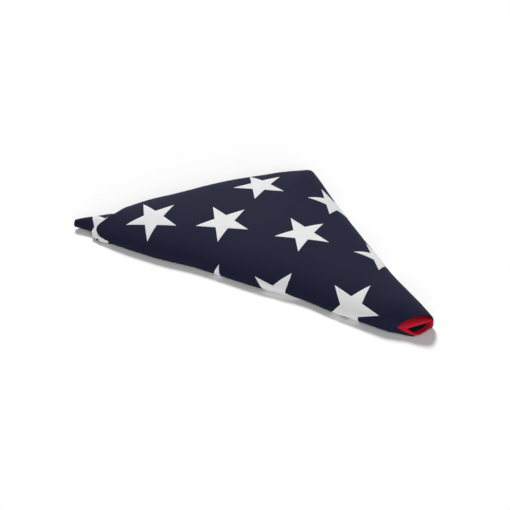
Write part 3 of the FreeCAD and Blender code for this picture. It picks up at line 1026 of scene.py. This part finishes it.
# Nose of the strip's fold: from under the outer turn over its round edge and back in
FOLD_NOSE = (
    ((156, -92.5, 6.0), (163, -86, 10.8), (169, -79, 12.0), (175, -73, 10.4), (180, -69.5, 7.0)),
    ((166.4, -95, 6.6), (175.2, -88, 11.2), (180.2, -82.4, 12.2), (184, -77.6, 11.2), (187.6, -73.4, 8.2)),
    ((170.5, -94.2, 7), (177.9, -90, 10.6), (182.7, -85.7, 11.4), (186.8, -80.7, 10.8), (189.2, -75, 8.2)),
    ((174.6, -92.6, 6.2), (180, -90, 8.4), (183.8, -87, 9.0), (187, -82, 9.0), (188.9, -75.4, 7.4)),
    ((171, -90, 6.4), (176, -86, 8.2), (180, -81.5, 8.8), (183.6, -78, 8.6), (186.6, -74.6, 7.0)),
    ((152, -88, 6.4), (157, -82, 8.0), (162, -77, 8.6), (167, -73.5, 8.0), (173, -71.5, 6.2)),
)

# Lower ply: from below the outer turn up to its free edge, down inside and back into the hollow
LOWER_PLY = (
    ((154, -93, 1.8), (163, -93.4, 1.8), (171, -93.6, 1.7), (179.4, -93.4, 1.5), (184, -87.6, 1.5),
     (186.8, -80.6, 1.7), (188, -76.6, 2.4), (186.4, -73, 4.0)),
    ((160, -95, 4.6), (168.4, -95.2, 4.0), (175.2, -95.4, 3.2), (182, -95.4, 2.0), (186.8, -88, 2.0),
     (189.4, -80.2, 2.6), (190.6, -76.4, 4.2), (189.4, -73.8, 6.0)),
    ((162, -94.6, 8.0), (169.2, -92.6, 8.2), (175.2, -94.2, 6.4), (182.2, -96, 3.2), (187.2, -88.3, 3.2),
     (189.8, -81, 4.2), (191, -77.2, 6.2), (190, -74.6, 8.2)),
    ((160, -91.4, 4.0), (167, -90.2, 3.2), (173.4, -91.2, 2.4), (179.2, -92.4, 1.9), (183.6, -86.8, 1.9),
     (186.4, -80.8, 2.3), (187.8, -77.6, 3.4), (187.2, -75.2, 5.4)),
    ((150, -88.5, 2.6), (156, -88, 2.2), (162, -87.5, 2.0), (167, -86.5, 1.9), (171, -83, 1.9),
     (174, -79, 2.2), (175.5, -76.4, 3.0), (175, -74, 4.2)),
)

# Painted shade: a navy sheet deep in the hollow between the nose and the lower ply, put there for its
# darkness where red cloth lies in shade
HOLLOW_SHADE_SHEET = (
    ((166, -91.6, 3.4), (173, -92.2, 2.9), (178.6, -92.6, 2.6), (182.6, -86.6, 2.6), (185.2, -81, 3.0),
     (186.4, -77.4, 4.4)),
    ((160, -88.5, 3.6), (166, -88, 3.2), (171, -87.4, 3.0), (175, -83.4, 3.0), (178, -79.4, 3.2),
     (180, -76.4, 4.2)),
    ((148, -86, 4.6), (154, -85, 4.4), (160, -84, 4.2), (164, -80.5, 4.2), (168, -77, 4.2),
     (172, -74.5, 4.4)),
)
# Thickness of the red cloth with its lining, and of the navy sheet of painted shade in the hollow
RED_CLOTH = 1.2 * MM
NAVY_CLOTH = 0.9 * MM


class FOLDEDFLAG_OT_red_tip(bpy.types.Operator):
    """Makes the red fold of the stripes that shows in the open tip"""

    bl_idname = "folded_flag.red_tip"
    bl_label = "Red Tip"

    def execute(self, context):
        nose = soft_grid("stripe_05_fold", FOLD_NOSE, RED_CLOTH)
        dress(nose, cloth_of("red"), "red_cloth", "stripe_05_red")
        ply = soft_grid("stripe_13_ply", LOWER_PLY, RED_CLOTH)
        dress(ply, cloth_of("red"), "red_cloth", "stripe_13_red")
        # Painted shade: this navy sheet darkens the hollow, where the red cloth lies in shade
        lining = soft_grid("hollow_shade_sheet", HOLLOW_SHADE_SHEET, NAVY_CLOTH)
        paint_uv(lining, "cloth", [vertex.co.xy for vertex in lining.data.vertices])
        dress(lining, navy_cloth(), "navy_cloth")
        return {"FINISHED"}


# Stripes inside the pack

STRIPE_COUNT = 13
# Stripes that show in the open tip and are made on their own
TIP_STRIPES = (5, 13)
STRIP_WIDTH = 270 * MM
# For each third of the hoist: its ply's low and high share of the room, and if it runs back from the tip
THIRDS = ((0.68, 1.0, False), (0.0, 0.32, True), (0.34, 0.66, False))
# How far inside the sides the plies end, how far left and how far from the left leg they reach
STRIPE_INSET = 7 * MM
STRIPE_LEFT = -118 * MM
STRIPE_REACH = 240 * MM
NARROWEST_BAND = 4 * MM
# Height of the lowest ply, and what the plies leave free below the crown
PLY_FLOOR = 3 * MM
PLY_CLEAR = 7.5 * MM
# Rows and columns of points on a band
BAND_ROWS = 14
BAND_COLUMNS = 40


def stripe_bands(number):
    """Bands of a stripe, each with its distances from the left leg and its ply's shares of height."""
    found = []
    for third, (low, high, back) in enumerate(THIRDS):
        start = max((number - 1) * 3 / STRIPE_COUNT - third, 0.0)
        end = min(number * 3 / STRIPE_COUNT - third, 1.0)
        if start < end:
            if back:
                start, end = 1 - end, 1 - start
            near = max(start * STRIP_WIDTH, STRIPE_INSET)
            far = min(end * STRIP_WIDTH, STRIPE_REACH)
            if far - near >= NARROWEST_BAND:
                found.append((near, far, low, high))
    return found


def band_plan(pack, near, far):
    """Plan of a band: rows of points along the left leg's way, between two distances from that leg."""
    lines = []
    for distance in np.linspace(near, far, BAND_ROWS):
        spot = pack.left.start + pack.left.inward * distance
        front = (spot - pack.front.start) @ pack.front.inward - STRIPE_INSET
        right = (spot - pack.right.start) @ pack.right.inward - STRIPE_INSET
        start = -right / float(pack.left.way @ pack.right.inward)
        end = -front / float(pack.left.way @ pack.front.inward)
        end = min(end, (spot[0] - STRIPE_LEFT) / -pack.left.way[0])
        steps = np.linspace(start, max(end, start + MM), BAND_COLUMNS)
        lines.append(spot + pack.left.way * steps[:, None])
    return np.array(lines)


def band_faces():
    """Faces of a closed band whose top points come first and then those of its underside."""
    rows, columns = BAND_ROWS, BAND_COLUMNS
    half = rows * columns
    quads = flipped(grid_faces(rows, columns))
    faces = [quad[::-1] for quad in quads]
    faces += [tuple(corner + half for corner in quad) for quad in quads]
    border = list(range(columns))
    border += [row * columns + columns - 1 for row in range(1, rows)]
    border += [(rows - 1) * columns + column for column in range(columns - 2, -1, -1)]
    border += [row * columns for row in range(rows - 2, 0, -1)]
    for one, two in zip(border, border[1:] + border[:1]):
        faces.append((one + half, two + half, two, one))
    return faces


class FOLDEDFLAG_OT_stripes(bpy.types.Operator):
    """Lays the stripes' folded plies inside the canton, in thirds of the hoist"""

    bl_idname = "folded_flag.stripes"
    bl_label = "Stripes"

    def execute(self, context):
        pack = layout().pack
        for number in range(1, STRIPE_COUNT + 1):
            if number in TIP_STRIPES:
                continue
            colour_name = "red" if number % 2 else "white"
            node = "stripe_%02d_%s" % (number, colour_name)
            points = []
            faces = []
            area = broad = longest = 0.0
            for near, far, low, high in stripe_bands(number):
                plan = band_plan(pack, near, far)
                faces += [tuple(corner + len(points) for corner in face) for face in band_faces()]
                for share in (high, low):
                    height = PLY_FLOOR + (pack.crown(plan) - PLY_CLEAR) * share
                    points += list(np.dstack((plan, height)).reshape(-1, 3))
                runs = np.linalg.norm(plan[:, -1] - plan[:, 0], axis=1)
                area += (far - near) * runs.mean()
                broad += far - near
                longest = max(longest, float(runs.max()))
            made = mesh_object(node + "_ply", points, faces)
            smooth(made, 40)
            dress(made, cloth_of(colour_name), colour_name + "_cloth", node)
        return {"FINISHED"}


class FOLDEDFLAG_OT_inner_finish(bpy.types.Operator):
    """Gives the heading and grommets inside the pack their canvas and brass"""

    bl_idname = "folded_flag.inner_finish"
    bl_label = "Inner Pieces"

    def execute(self, context):
        colours = context.scene.folded_flag_colours
        canvas = finish_named("heading_canvas", woven_cloth, colours.canvas, 1.1 * MM, 0.0, sheen=0.1)
        brass = finish_named("grommet_brass", polished_brass, colours.brass)
        for name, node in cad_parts.items():
            if node.hide_render:
                continue
            node.data.materials.clear()
            node.data.materials.append(canvas if name == "heading" else brass)
        return {"FINISHED"}


# Stage

# Place of the camera in millimetres, its turns about X, Y and Z in degrees, and its lens
CAMERA_PLACE = (389.7, -731.1, 590.3)
CAMERA_TURNS = (53.055, 1.965, 28.444)
CAMERA_LENS = 70.8
SENSOR_WIDTH = 36
NEAREST_SEEN = 10 * MM
FLOOR_SIZE = 12
SKY_LEVEL = 0.18


def soft_lamp(name, place, spread, power):
    """Even soft light over the whole floor, from a wide patch of sky."""
    lamp = bpy.data.lights.new(name, "SUN")
    lamp.angle = math.radians(spread)
    lamp.energy = power
    made = bpy.data.objects.new(name, lamp)
    made.location = place
    made.rotation_euler = (-Vector(place)).to_track_quat("-Z", "Y").to_euler()
    bpy.context.scene.collection.objects.link(made)


class FOLDEDFLAG_OT_stage(bpy.types.Operator):
    """Sets the pale floor, the soft light and the camera"""

    bl_idname = "folded_flag.stage"
    bl_label = "Stage"

    def execute(self, context):
        scene = context.scene
        scene.view_settings.view_transform = "Standard"
        bpy.ops.object.select_all(action="DESELECT")
        bpy.ops.mesh.primitive_plane_add(size=FLOOR_SIZE)
        floor = context.object
        floor.name = "studio_floor"
        floor.data.materials.append(studio_floor("studio_floor", scene.folded_flag_colours.floor))
        scene.world = studio_world("studio", SKY_LEVEL)
        soft_lamp("key", place=(-0.62, 0.8, 0.92), spread=12, power=2.95)
        soft_lamp("fill", place=(0.75, -1.0, 0.36), spread=60, power=2.1)
        camera = bpy.data.objects.new("camera", bpy.data.cameras.new("camera"))
        camera.location = Vector(CAMERA_PLACE) * MM
        camera.rotation_euler = [math.radians(turn) for turn in CAMERA_TURNS]
        camera.data.lens = CAMERA_LENS
        camera.data.sensor_width = SENSOR_WIDTH
        camera.data.clip_start = NEAREST_SEEN
        scene.collection.objects.link(camera)
        scene.camera = camera
        return {"FINISHED"}


class FOLDEDFLAG_PT_pieces(bpy.types.Panel):
    """Lists the pieces of the folded flag"""

    bl_label = "Folded Flag"
    bl_idname = "FOLDEDFLAG_PT_pieces"
    bl_space_type = "VIEW_3D"
    bl_region_type = "UI"
    bl_category = "Folded Flag"

    def draw(self, context):
        for operator in OPERATORS:
            self.layout.operator(operator.bl_idname)


OPERATORS = (
    FOLDEDFLAG_OT_stage,
    FOLDEDFLAG_OT_outer_turn,
    FOLDEDFLAG_OT_tip_turn,
    FOLDEDFLAG_OT_stars,
    FOLDEDFLAG_OT_red_tip,
    FOLDEDFLAG_OT_stripes,
    FOLDEDFLAG_OT_inner_finish,
)
SETTINGS = (
    ("folded_pack_shape", FoldedPackShape),
    ("folded_star_shape", FoldedStarShape),
    ("folded_flag_colours", FoldedFlagColours),
)


def register():
    for name, group in SETTINGS:
        bpy.utils.register_class(group)
        setattr(bpy.types.Scene, name, bpy.props.PointerProperty(type=group))
    for kind in (*OPERATORS, FOLDEDFLAG_PT_pieces):
        bpy.utils.register_class(kind)


def unregister():
    for kind in (FOLDEDFLAG_PT_pieces, *reversed(OPERATORS)):
        bpy.utils.unregister_class(kind)
    for name, group in reversed(SETTINGS):
        delattr(bpy.types.Scene, name)
        bpy.utils.unregister_class(group)


def main():
    register()
    for operator in OPERATORS:
        group, name = operator.bl_idname.split(".")
        getattr(getattr(bpy.ops, group), name)()


if __name__ == "__main__":
    main()
